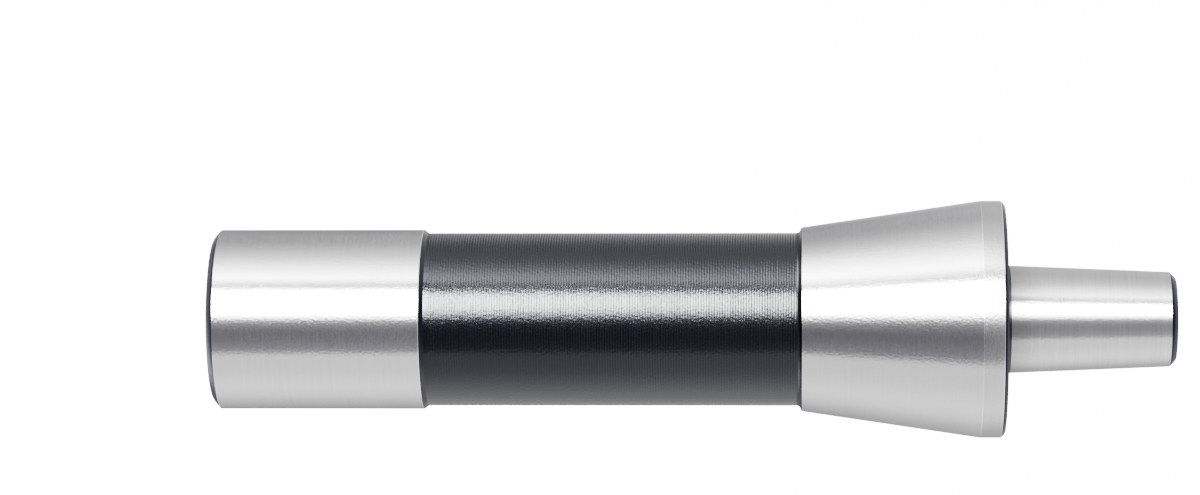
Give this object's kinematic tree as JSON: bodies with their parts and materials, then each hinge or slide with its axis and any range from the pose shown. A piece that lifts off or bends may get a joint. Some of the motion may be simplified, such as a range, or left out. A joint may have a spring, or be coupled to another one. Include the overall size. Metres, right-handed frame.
{
  "type": "drill chuck arbor",
  "caption": "One-piece steel arbor that holds a drill chuck in a milling spindle: a keyed shank with a steep taper and a drawbar thread at one end, a slim chuck taper at the other.",
  "frame": {"origin": "centre of the drawbar end face, on the axis of the arbor, which stands on that face", "axes": "+Z along the axis from the drawbar end to the chuck nose; the keyway is on the +Y side"},
  "size_m": [0.0318, 0.0318, 0.1289],
  "materials": {
    "steel": "fine ground satin steel on the bearing, tapers and rim; black oxide on the turned neck, step, chamfers, rim face and holes"
  },
  "bodies": {
    "root": {"arbor": "steel"}
  },
  "joints": []
}
